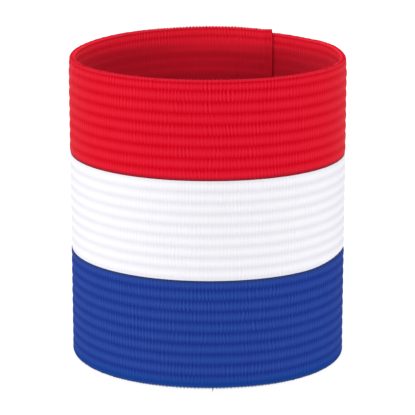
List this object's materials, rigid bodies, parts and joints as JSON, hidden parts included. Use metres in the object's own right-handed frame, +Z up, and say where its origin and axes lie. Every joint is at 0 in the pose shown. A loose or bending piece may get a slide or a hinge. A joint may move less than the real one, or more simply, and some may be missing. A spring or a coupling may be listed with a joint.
{
  "type": "captain armband",
  "caption": "Ribbed elastic captain armband in red, white and blue sections, closed to a loop by a sewn lap, standing on its lower edge.",
  "frame": {"origin": "on the surface that the band stands on, under the middle of its box", "axes": "+Z up along the loop's axis, front towards -Y, lap at the back right of the middle towards +X"},
  "size_m": [0.0756, 0.0789, 0.0846],
  "materials": {
    "red_yarn": "matt woven elastic web with raised ribs, bright red polyester yarn",
    "white_yarn": "matt woven elastic web with raised ribs, white polyester yarn",
    "blue_yarn": "matt woven elastic web with raised ribs, royal blue polyester yarn"
  },
  "bodies": {
    "root": {"stripe_red": "red_yarn", "stripe_white": "white_yarn", "stripe_blue": "blue_yarn"}
  },
  "joints": []
}
